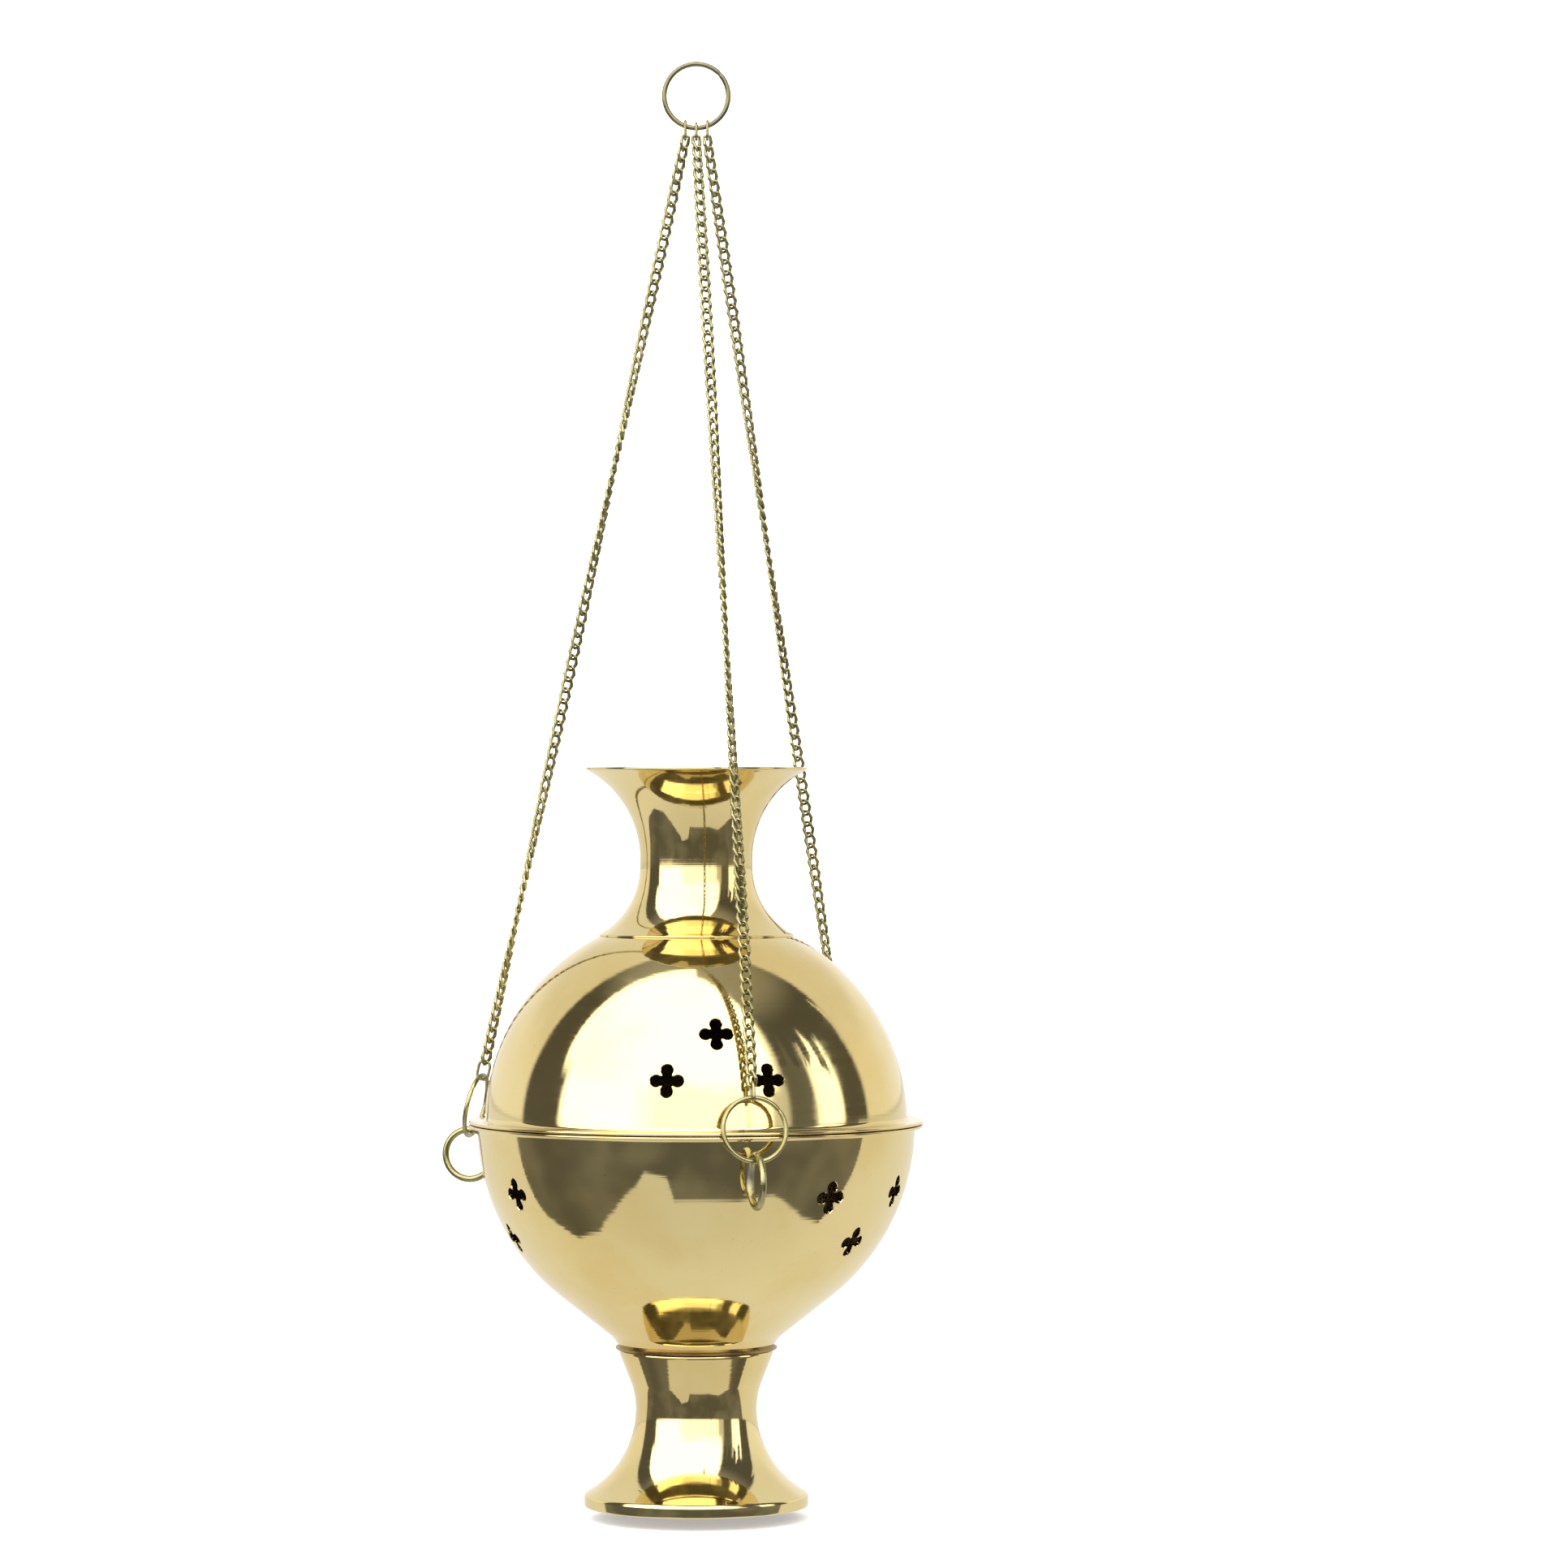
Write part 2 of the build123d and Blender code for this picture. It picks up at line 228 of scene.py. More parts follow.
def sheet_outline(line, thickness, side):
    """Closed outline of a spun sheet with round edges, and which of its steps face inward.

    The second skin lies to the left of the line for side 1 and to its right for side -1.
    """
    along = np.gradient(line, axis=0)
    along /= np.linalg.norm(along, axis=1)[:, None]
    across = side * np.column_stack((-along[:, 1], along[:, 0]))
    middle = line + across * thickness / 2
    half_turn = np.linspace(0, pi, EDGE_STEPS)[1:-1, None]
    end = middle[-1] - thickness / 2 * (across[-1] * np.cos(half_turn) - along[-1] * np.sin(half_turn))
    start = middle[0] + thickness / 2 * (across[0] * np.cos(half_turn) - along[0] * np.sin(half_turn))
    outline = np.vstack((line, end, line[::-1] + across[::-1] * thickness, start))
    inner = np.zeros(len(outline), int)
    inner[len(line) + len(end):2 * len(line) + len(end) - 1] = 1
    return outline, inner


def make_object(name, vertices, faces, materials):
    """Mesh object from points in millimetres."""
    mesh = bpy.data.meshes.new(name)
    mesh.from_pydata((np.asarray(vertices) * MM).tolist(), [], faces)
    for material in materials:
        mesh.materials.append(material)
    piece = bpy.data.objects.new(name, mesh)
    bpy.context.scene.collection.objects.link(piece)
    return piece


def clean(mesh):
    """Join points on the axis, drop empty faces and point every normal outward."""
    work = bmesh.new()
    work.from_mesh(mesh)
    bmesh.ops.remove_doubles(work, verts=work.verts, dist=1e-7)
    bmesh.ops.dissolve_degenerate(work, edges=work.edges, dist=1e-8)
    bmesh.ops.recalc_face_normals(work, faces=work.faces)
    work.to_mesh(mesh)
    work.free()


def smooth(mesh, angle=SHARP_ANGLE):
    """Smooth shading, broken where faces meet at more than the angle."""
    mesh.polygons.foreach_set("use_smooth", [True] * len(mesh.polygons))
    mesh.set_sharp_from_angle(angle=radians(angle))


def spin(name, outline, inner, materials):
    """Turn a closed outline about the Z axis; inner steps take the second material."""
    turns = np.linspace(0, 2 * pi, SPIN_STEPS, endpoint=False)
    radius, height = outline[:, 0], outline[:, 1]
    vertices = np.stack((
        np.outer(np.sin(turns), radius),
        -np.outer(np.cos(turns), radius),
        np.broadcast_to(height, (SPIN_STEPS, len(outline))),
    ), axis=2).reshape(-1, 3)
    faces = grid_faces(SPIN_STEPS, len(outline))
    piece = make_object(name, vertices, faces, materials)
    piece.data.polygons.foreach_set("material_index", np.tile(inner, SPIN_STEPS))
    clean(piece.data)
    smooth(piece.data)
    return piece


def grid_faces(rows, columns, closed=True):
    """Four-sided faces of a grid of points whose columns close, and whose rows close too if asked."""
    row = np.arange(rows if closed else rows - 1)[:, None]
    column = np.arange(columns)[None, :]
    after, beside = (row + 1) % rows, (column + 1) % columns
    near, far = row * columns, after * columns
    corners = (near + column, near + beside, far + beside, far + column)
    return np.stack(corners, axis=2).reshape(-1, 4).tolist()


def wire(path, radius, sides):
    """Points of round wire along a closed path; radius is one number or one for each point."""
    path = np.asarray(path)
    along = np.roll(path, -1, axis=0) - np.roll(path, 1, axis=0)
    along /= np.linalg.norm(along, axis=1)[:, None]
    side = unit(np.cross(along[0], (0.3, 0.5, 0.8)))
    sideways = []
    for direction in along:
        side = unit(side - direction * (side @ direction))
        sideways.append(side)
    sideways = np.array(sideways)
    upward = np.cross(along, sideways)
    closing = unit(side - along[0] * (side @ along[0]))
    twist = -atan2(closing @ upward[0], closing @ sideways[0])
    spread = twist * np.arange(len(path))[:, None] / len(path)
    turns = np.linspace(0, 2 * pi, sides, endpoint=False)[None, :] + spread
    radius = np.broadcast_to(radius, len(path))[:, None, None]
    round_about = np.cos(turns)[:, :, None] * sideways[:, None] + np.sin(turns)[:, :, None] * upward[:, None]
    return (path[:, None] + radius * round_about).reshape(-1, 3)


def circle(centre, radius, first, second):
    """Points of a circle in the plane of two unit vectors."""
    turns = np.linspace(0, 2 * pi, RING_STEPS, endpoint=False)[:, None]
    return centre + radius * (np.cos(turns) * first + np.sin(turns) * second)


def carve(piece, cutter):
    """Cut one mesh from another and drop the cutter."""
    cut = piece.modifiers.new("cut", "BOOLEAN")
    cut.operation = "DIFFERENCE"
    cut.solver = "EXACT"
    cut.object = cutter
    bpy.context.view_layer.update()
    result = bpy.data.meshes.new_from_object(piece.evaluated_get(bpy.context.evaluated_depsgraph_get()))
    piece.modifiers.clear()
    piece.data = result
    bpy.data.objects.remove(cutter)


def true_ball_normals(mesh, radii):
    """Exact normals on the faces that lie on a sphere about the seam's middle, right up to the cut edges."""
    mesh.set_sharp_from_angle(angle=radians(SHARP_ANGLE))
    count = len(mesh.loops)
    normals, points = np.empty(count * 3), np.empty(len(mesh.vertices) * 3)
    flat, corner = np.empty(len(mesh.polygons) * 3), np.empty(count, int)
    mesh.corner_normals.foreach_get("vector", normals)
    mesh.vertices.foreach_get("co", points)
    mesh.polygons.foreach_get("normal", flat)
    mesh.loops.foreach_get("vertex_index", corner)
    sizes = np.empty(len(mesh.polygons), int)
    mesh.polygons.foreach_get("loop_total", sizes)
    owner = np.repeat(np.arange(len(sizes)), sizes)
    normals = normals.reshape(-1, 3)
    offset = points.reshape(-1, 3)[corner] - np.array((0, 0, SEAM_Z * MM))
    distance = np.linalg.norm(offset, axis=1)
    radial = offset / distance[:, None]
    facing = np.einsum("ij,ij->i", radial, flat.reshape(-1, 3)[owner])
    near = np.min([np.abs(distance - radius * MM) for radius in radii], axis=0) < ON_SPHERE * MM
    exact = near & (np.abs(facing) > FACES_OUT)
    normals[exact] = radial[exact] * np.sign(facing[exact])[:, None]
    mesh.normals_split_custom_set(normals.tolist())


def settle(piece, body, node):
    """The piece rides on a body and stands for a CAD node."""
    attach(piece, body)
    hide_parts(node)
    return piece


# ---------------------------------------------------------------- shader nodes
def shader(tree, kind, *values, **settings):
    """New node; each value is joined or set on the input in the same place, and None leaves it."""
    node = tree.nodes.new("ShaderNode" + kind)
    for name, value in settings.items():
        setattr(node, name, value)
    for socket, value in zip(node.inputs, values):
        if isinstance(value, bpy.types.NodeSocket):
            tree.links.new(value, socket)
        elif value is not None:
            socket.default_value = value
    return node


def maths(tree, operation, *values):
    return shader(tree, "Math", *values, operation=operation).outputs[0]


def step(tree, value, low, high, before=0.0, after=1.0):
    """Smooth change from before to after, as the value goes from low to high."""
    node = shader(tree, "MapRange", value, low, high, before, after, interpolation_type="SMOOTHSTEP")
    return node.outputs[0]


def tint(tree, factor, first, second):
    """Colour that goes from the first to the second with the factor."""
    node = tree.nodes.new("ShaderNodeMix")
    node.data_type = "RGBA"
    for socket, value in ((node.inputs[0], factor), (node.inputs[6], first), (node.inputs[7], second)):
        if isinstance(value, bpy.types.NodeSocket):
            tree.links.new(value, socket)
        elif isinstance(value, tuple):
            socket.default_value = (*value, 1.0)
        else:
            socket.default_value = value
    return node.outputs[2]


def noise(tree, place, scale, detail=3.0, roughness=0.55, stretch=(1, 1, 1)):
    """Noise from 0 to 1 at object points, stretched along the axes."""
    stretched = shader(tree, "VectorMath", place, stretch, operation="MULTIPLY").outputs[0]
    return shader(tree, "TexNoise", stretched, None, scale, detail, roughness).outputs[0]


def new_material(name, **constants):
    """Metal material: its tree, its surface shader and the place that its patterns start from."""
    material = bpy.data.materials.new(name)
    material.use_nodes = True
    tree = material.node_tree
    surface = tree.nodes["Principled BSDF"]
    surface.inputs["Metallic"].default_value = 1.0
    for key, value in constants.items():
        surface.inputs[key.replace("_", " ")].default_value = value
    place = tree.nodes.new("ShaderNodeTexCoord").outputs["Object"]
    return material, tree, surface, place


def ramp(tree, value, stops):
    """Grey value that runs straight between stops of (place from 0 to 1, value)."""
    node = shader(tree, "ValToRGB", value)
    elements = node.color_ramp.elements
    while len(elements) > 1:
        elements.remove(elements[-1])
    for index, (place, grey) in enumerate(stops):
        element = elements[0] if index == 0 else elements.new(place)
        element.position = place
        element.color = (grey, grey, grey, 1.0)
    return node.outputs[0]


def bump(tree, surface, height, depth):
    """Relief of a depth in metres on a surface shader."""
    node = shader(tree, "Bump", 1.0, depth)
    tree.links.new(height, node.inputs["Height"])
    tree.links.new(node.outputs[0], surface.inputs["Normal"])


# ---------------------------------------------------------------- finishes
BRASS = (0.76, 0.63, 0.31)
DEEP_BRASS = (0.70, 0.54, 0.22)
# Brown of tarnish; on the polished shells it also paints shade along the lines where parts meet
TARNISH_AND_SHADE = (0.30, 0.19, 0.08)
SOOT = (0.05, 0.034, 0.026)
WIRE = (0.37, 0.34, 0.17)
BROWN_WIRE = (0.26, 0.23, 0.10)
GREY_WIRE = (0.17, 0.16, 0.12)
SOLDER = (0.32, 0.30, 0.22)
DULL_BRASS = (0.42, 0.31, 0.14)
SATIN_BRASS = (0.60, 0.47, 0.22)
HEATED_BRASS = (0.38, 0.25, 0.12)
STEEL = (0.66, 0.66, 0.64)
DULL_STEEL = (0.50, 0.50, 0.49)
PAPER = (0.9, 0.9, 0.9)


# Tarnish and painted shade along the lines where the polished shells meet: height, reach in millimetres and
# strength
DARK_LINES = ((SEAM_Z, 0.8, 0.6), (JOINT_Z, 1.2, 1.0), (highest("funnel"), 0.8, 1.2))


def height_above(tree, place, level):
    """Distance in millimetres above a level given in millimetres."""
    z = shader(tree, "SeparateXYZ", place).outputs[2]
    return maths(tree, "SUBTRACT", maths(tree, "MULTIPLY", z, 1 / MM), level)


def near_level(tree, place, level, reach):
    """1 at a level, fading to 0 at the reach, both in millimetres."""
    return step(tree, maths(tree, "ABSOLUTE", height_above(tree, place, level)), 0.0, reach, 1.0, 0.0)


def polished_brass(dark_lines):
    """Mirror-bright spun brass: faint spinning rings, hand smears, and tarnish with painted shade where parts
    meet.
    """
    material, tree, surface, place = new_material("polished_brass")
    patches = noise(tree, place, 22.0, 4.0)
    rings = noise(tree, place, 1.0, 2.0, stretch=(12, 12, 900))
    smears = noise(tree, place, 60.0, 6.0, 0.7, stretch=(1, 1, 0.5))
    specks = noise(tree, place, 900.0, 2.0)
    colour = tint(tree, step(tree, patches, 0.38, 0.72), BRASS, DEEP_BRASS)
    # Darkening along the seam, the joint and the funnel's rim: tarnish with painted shade where the parts
    # meet
    tarnish_and_shade = None
    for level, reach, strength in dark_lines:
        line = maths(tree, "MULTIPLY", near_level(tree, place, level, reach), strength)
        tarnish_and_shade = line if tarnish_and_shade is None else maths(tree, "MAXIMUM", tarnish_and_shade, line)
    tarnish_and_shade = maths(tree, "MULTIPLY", tarnish_and_shade, step(tree, smears, 0.35, 0.6, 0.25, 0.75))
    spots = step(tree, specks, 0.70, 0.78, 0.0, 0.35)
    colour = tint(tree, maths(tree, "MAXIMUM", tarnish_and_shade, spots), colour, TARNISH_AND_SHADE)
    tree.links.new(colour, surface.inputs["Base Color"])
    brushed = step(tree, rings, 0.3, 0.7, 0.045, 0.085)
    gloss = maths(tree, "ADD", brushed, step(tree, smears, 0.52, 0.75, 0.0, 0.07))
    gloss = maths(tree, "ADD", gloss, maths(tree, "MULTIPLY", tarnish_and_shade, 0.25))
    tree.links.new(gloss, surface.inputs["Roughness"])
    waves = noise(tree, place, 30.0, 1.0)
    relief = maths(tree, "ADD", maths(tree, "MULTIPLY", rings, 0.06), waves)
    bump(tree, surface, relief, 0.00022)
    return material


def stained_brass():
    """Inside of the shells: dull brass under smoke, darker towards the top."""
    material, tree, surface, place = new_material("stained_brass")
    patches = noise(tree, place, 35.0, 5.0, 0.65)
    grain = noise(tree, place, 700.0, 3.0)
    rise = step(tree, height_above(tree, place, SEAM_Z), -60.0, 110.0, 0.35, 0.95)
    smoke = maths(tree, "MULTIPLY", rise, step(tree, patches, 0.25, 0.7, 0.6, 1.0))
    colour = tint(tree, step(tree, patches, 0.4, 0.65), DULL_BRASS, TARNISH_AND_SHADE)
    tree.links.new(tint(tree, smoke, colour, SOOT), surface.inputs["Base Color"])
    tree.links.new(step(tree, smoke, 0.2, 0.9, 0.28, 0.75), surface.inputs["Roughness"])
    bump(tree, surface, grain, 0.00012)
    return material


def wire_brass(name, bright, brown):
    """Drawn wire: duller than the shells, browned in patches, with solder where it meets the bowl."""
    material, tree, surface, place = new_material(name)
    patches = noise(tree, place, 90.0, 4.0)
    grain = noise(tree, place, 1800.0, 3.0)
    colour = tint(tree, step(tree, patches, 0.35, 0.70), bright, brown)
    middle = (0.0, 0.0, SEAM_Z * MM)
    reach = shader(tree, "VectorMath", place, middle, operation="DISTANCE").outputs[1]
    solder = step(tree, reach, (BOWL_R + 0.6) * MM, (BOWL_R + 1.5) * MM, 1.0, 0.0)
    tree.links.new(tint(tree, solder, colour, SOLDER), surface.inputs["Base Color"])
    gloss = step(tree, patches, 0.3, 0.7, 0.22, 0.34)
    gloss = maths(tree, "ADD", gloss, maths(tree, "MULTIPLY", solder, 0.2))
    tree.links.new(gloss, surface.inputs["Roughness"])
    bump(tree, surface, grain, 0.00004)
    return material


def pan_brass():
    """Charcoal cup: satin brass, heat-browned, with soot and ash marks on its floor."""
    material, tree, surface, place = new_material("pan_brass")
    patches = noise(tree, place, 55.0, 6.0, 0.65)
    fine = noise(tree, place, 500.0, 4.0)
    heat = step(tree, height_above(tree, place, PAN_FLOOR_Z), 0.5, 12.0, 1.0, 0.0)
    colour = tint(tree, step(tree, patches, 0.35, 0.7), SATIN_BRASS, HEATED_BRASS)
    soot = maths(tree, "MULTIPLY", heat, step(tree, patches, 0.3, 0.62, 0.35, 1.0))
    tree.links.new(tint(tree, soot, colour, SOOT), surface.inputs["Base Color"])
    gloss = step(tree, maths(tree, "ADD", soot, fine), 0.3, 1.4, 0.25, 0.7)
    tree.links.new(gloss, surface.inputs["Roughness"])
    bump(tree, surface, fine, 0.0001)
    return material


def bolt_steel():
    """Zinc-plated steel: grey, lightly mottled and scratched."""
    material, tree, surface, place = new_material("bolt_steel")
    patches = noise(tree, place, 400.0, 4.0)
    scratches = noise(tree, place, 300.0, 3.0, stretch=(1, 8, 8))
    colour = tint(tree, patches, DULL_STEEL, STEEL)
    tree.links.new(colour, surface.inputs["Base Color"])
    tree.links.new(step(tree, scratches, 0.3, 0.7, 0.22, 0.42), surface.inputs["Roughness"])
    bump(tree, surface, scratches, 0.00003)
    return material


# ---------------------------------------------------------------- spun shells
def flange_root(flange_z, ball_r, fillet_r, upward):
    """Arc from a flange to the ball below or above it, and the angle where the ball starts."""
    z = flange_z + upward * fillet_r
    x = sqrt((ball_r + fillet_r) ** 2 - (z - SEAM_Z) ** 2)
    start = degrees(atan2(abs(z - SEAM_Z), x))
    return arc((x, z), fillet_r, -90 * upward, -upward * (180 - start), ROOT_STEPS), upward * start


def bowl_line():
    """Outer line of the bowl: flange, root, round side, cone, neck and floor."""
    flange_z = highest("bowl") - WALL
    root, start = flange_root(flange_z, BOWL_R, BOWL_ROOT_FILLET, -1)
    side = arc((0, SEAM_Z), BOWL_R, start, BOWL_CONE_ANGLE - 90)
    cone_slope, neck_slope = tan(radians(BOWL_CONE_ANGLE)), 1 / tan(radians(WAIST_ANGLE))
    drop = side[-1][1] - cone_slope * side[-1][0]
    corner_x = (JOINT_Z - neck_slope * JOINT_R - drop) / (cone_slope - neck_slope)
    corners = (side[-1], (corner_x, drop + cone_slope * corner_x), (JOINT_R, JOINT_Z), (BOLT_HOLE_R, JOINT_Z))
    neck = rounded(corners, (BOWL_NECK_FILLET, JOINT_CORNER), 14)
    return joined([(FLANGE_R - WALL / 2, flange_z)], root, side, neck)


def dome_line():
    """Outer line of the lid's dome: flange, root and round side up to its vent."""
    flange_z = lowest("lid_dome") + WALL
    root, start = flange_root(flange_z, DOME_R, DOME_ROOT_FILLET, 1)
    side = arc((0, SEAM_Z), DOME_R, start, degrees(acos(DOME_VENT_R / DOME_R)))
    return joined([(FLANGE_R - WALL / 2, flange_z)], root, side)


def flare(neck_r, neck_z, curve_r, end_r, trim=0.0):
    """Arc that leaves an upright neck and turns outward to a radius; a negative curve radius goes down."""
    size = abs(curve_r)
    angle = degrees(acos((neck_r + size - end_r) / size)) - degrees(trim / size)
    down = -1 if curve_r < 0 else 1
    return arc((neck_r + size, neck_z), size, 180, 180 - down * angle)


def funnel_line():
    """Outer line of the funnel from its base, round the neck, to the rim."""
    edge = FUNNEL_WALL / 2
    lower = flare(NECK_R, NECK_BOTTOM_Z, -FUNNEL_LOWER_CURVE_R, FUNNEL_BASE_R, edge)
    upper = flare(NECK_R, NECK_TOP_Z, FUNNEL_UPPER_CURVE_R, FUNNEL_RIM_R, edge)
    return joined(lower[::-1], upper)


def foot_line():
    """Outer line of the foot: top plate, ridge, waist, trumpet flare and upright rim."""
    waist_x = WAIST_R + WAIST_UPPER_CURVE_R * (1 - cos(radians(WAIST_ANGLE)))
    waist_z = WAIST_Z + WAIST_UPPER_CURVE_R * sin(radians(WAIST_ANGLE))
    corners = ((BOLT_HOLE_R, JOINT_Z), (JOINT_R + JOINT_RIDGE, JOINT_Z), (waist_x, waist_z))
    top = rounded(corners, (RIDGE_FILLET,))
    upper = flare(WAIST_R, WAIST_Z, WAIST_UPPER_CURVE_R, waist_x)
    lower = flare(WAIST_R, WAIST_Z, -FLARE_CURVE_R, BASE_R)
    angle = degrees(acos((WAIST_R + FLARE_CURVE_R - BASE_R) / FLARE_CURVE_R))
    short = flare(WAIST_R, WAIST_Z, -FLARE_CURVE_R, BASE_R, BASE_FILLET * tan(radians(angle) / 2) + 0.05)
    rim = rounded((short[-1], lower[-1], (BASE_R, BASE_Z + WALL / 2)), (BASE_FILLET,))
    return joined(top, upper[::-1], short, rim)


def pan_line():
    """Outer line of the fire pan, from its middle to the turned-out lip."""
    rim_z = PAN_FLOOR_Z + PAN_DEPTH
    lip = (PAN_LIP_R - PAN_WALL / 2, rim_z)
    corners = ((0, PAN_FLOOR_Z), (PAN_FLOOR_R, PAN_FLOOR_Z), (PAN_RIM_R, rim_z), lip)
    return rounded(corners, (PAN_CORNER, PAN_LIP_CORNER), 10)


def cross_outline(grow):
    """Outline of a pierced cross, a little larger all round."""
    arm, lobe = CROSS_ARM / 2 + grow, CROSS_LOBE / 2 + grow
    reach = (CROSS_SPAN - CROSS_LOBE) / 2
    corner = degrees(acos(arm / lobe))
    tip = joined([(arm, arm)], arc((0, reach), lobe, -corner, 180 + corner, LOBE_STEPS))
    turned = [tip]
    for _ in range(3):
        turned.append(turned[-1] @ np.array(((0, 1), (-1, 0))))
    return np.vstack(turned)


def cross_cutter(ball_r, groups, crosses):
    """One mesh of all the crosses of a ball: straight walls, then a small chamfer at the outer skin."""
    loops = []
    for grow, level in ((0, -CROSS_DEPTH), (0, -CROSS_CHAMFER), (CROSS_CHAMFER + CROSS_FLARE, CROSS_FLARE)):
        outline = cross_outline(grow)
        sag = (outline ** 2).sum(axis=1) / (2 * ball_r)
        loops.append(np.column_stack((outline, level - sag)))
    shape = np.vstack(loops)
    size = len(loops[0])
    walls = grid_faces(len(loops), size, closed=False)
    caps = [list(range(size))[::-1], list(range(2 * size, 3 * size))]
    vertices, faces = [], []
    for group in groups:
        for turn, height in crosses:
            level = sqrt(ball_r ** 2 - height ** 2)
            normal = unit(outward(group + turn) * level + np.array((0, 0, height)))
            side = unit(np.cross((0, 0, 1), normal))
            axes = np.array((side, np.cross(normal, side), normal))
            first = len(vertices) * len(shape)
            vertices.append(np.array((0, 0, SEAM_Z)) + normal * ball_r + shape @ axes)
            faces += [[first + corner for corner in face] for face in walls + caps]
    return make_object("crosses", np.vstack(vertices), faces, [])


def pierce(piece, ball_r, groups, crosses):
    """Cut the crosses and keep the ball's reflections clean around them."""
    cutter = cross_cutter(ball_r, groups, crosses)
    clean(cutter.data)
    carve(piece, cutter)
    true_ball_normals(piece.data, (ball_r, ball_r - WALL))


def make_shells(outer, inner):
    """The four spun shells and the fire pan."""
    skins = [outer, inner]
    bowl = spin("spun_bowl", *sheet_outline(bowl_line(), WALL, -1), skins)
    pierce(bowl, BOWL_R, BOWL_CROSS_GROUPS, BOWL_CROSSES)
    settle(bowl, "vessel", "bowl")
    dome = spin("spun_dome", *sheet_outline(dome_line(), WALL, 1), skins)
    pierce(dome, DOME_R, DOME_CROSS_GROUPS, DOME_CROSSES)
    settle(dome, "lid", "lid_dome")
    funnel = spin("spun_funnel", *sheet_outline(funnel_line(), FUNNEL_WALL, 1), skins)
    settle(funnel, "lid", "funnel")
    foot = spin("spun_foot", *sheet_outline(foot_line(), WALL, -1), skins)
    settle(foot, "vessel", "foot")
    satin = pan_brass()
    pan = spin("spun_fire_pan", *sheet_outline(pan_line(), PAN_WALL, 1), [satin, satin])
    settle(pan, "fire_pan", "fire_pan")


# ---------------------------------------------------------------- chains
class Chain:
    """The straight line of one chain between the second link's bow and the ring's seat in its lug."""

    def __init__(self, side):
        self.azimuth, self.lug_z, place, half_turns = SIDES[side]
        pivot = np.array(JOINTS[f"chain_{side}_spread"]["pos_m"]) / MM
        self.seat = np.array(JOINTS[f"ring_{side}_lean"]["pos_m"]) / MM
        self.down = unit(self.seat - pivot)
        self.across = unit(np.cross(self.down, (0, 0, 1)))
        self.first_bow = TOP_LINK_HALF_W + LINK_PITCH - LINK_H
        self.start = pivot - self.down * (self.first_bow + LINK_H)
        self.top_x = place * CHAIN_SPACING
        ring_top = self.seat - self.down * (2 * RING_R)
        last_bow = np.linalg.norm(ring_top - self.start) + (RING_WIRE + LINK_WIRE) / 2 + PLAY
        run = last_bow - END_LINK_H - self.first_bow
        self.count = ceil(run / LINK_PITCH)
        self.pitch = run / self.count
        beside = np.cross(-self.down, self.across)
        self.twist = 180 * half_turns + degrees(atan2(beside[1], self.across[1]))

    def place(self, points, distance, turn=0.0):
        """Points of a link moved to a distance down the line and turned about it."""
        beside = np.cross(-self.down, self.across)
        x = self.across * cos(radians(turn)) + beside * sin(radians(turn))
        axes = np.array((x, np.cross(-self.down, x), -self.down))
        return self.start + self.down * distance + points @ axes

    def link(self, points, index):
        """Points of a curb link at its place, counted from the second link of all."""
        turn = self.twist * (1 - index / (self.count - 1))
        return self.place(points, self.first_bow + LINK_H / 2 + index * self.pitch, turn)


def curb_path():
    """Middle line of a curb link: top bow along Y, bottom bow along X, and sides that bulge across."""
    half = LINK_H / 2
    corners = (
        (0, LINK_BOW, half),
        (0, -LINK_BOW, half),
        (LINK_BULGE, -LINK_BULGE, 0),
        (LINK_BOW, 0, -half),
        (-LINK_BOW, 0, -half),
        (-LINK_BULGE, LINK_BULGE, 0),
    )
    corner, side = LINK_CORNER, LINK_SIDE_CORNER
    return rounded(corners, (corner, corner, side, corner, corner, side), 5, closed=True)


def oval_path(height, half_width):
    """Middle line of a flat link in the YZ plane, with its bottom bow's middle at the origin."""
    corners = ((0, half_width, height), (0, -half_width, height), (0, -half_width, 0), (0, half_width, 0))
    return rounded(corners, (OVAL_ROUNDNESS * half_width,) * 4, 7, closed=True)


def wires(name, paths, radii, sides, material):
    """One object of several closed wires."""
    vertices, faces, first = [], [], 0
    for path, radius in zip(paths, radii):
        points = wire(path, radius, sides)
        faces += (np.array(grid_faces(len(path), sides)) + first).tolist()
        vertices.append(points)
        first += len(points)
    piece = make_object(name, np.vstack(vertices), faces, [material])
    clean(piece.data)
    smooth(piece.data, WIRE_SHARP_ANGLE)
    return piece


def make_links(name, paths, material, radius=LINK_WIRE / 2):
    return wires(name, paths, [radius] * len(paths), LINK_SIDES, material)


def curb_radius(path):
    """Wire radius along a curb link, fuller where its sides bulge."""
    return LINK_WIRE / 2 + LINK_SIDE_SWELL * np.exp(-(path[:, 2] / LINK_SWELL_REACH) ** 2)


def butt_jointed(wire_d, at):
    """Wire radius round a ring, with the fine groove where its ends meet at a share of the way round."""
    along = np.abs(np.arange(RING_STEPS) - at * RING_STEPS)
    return wire_d / 2 - BUTT_GROOVE * np.exp(-(along ** 2))


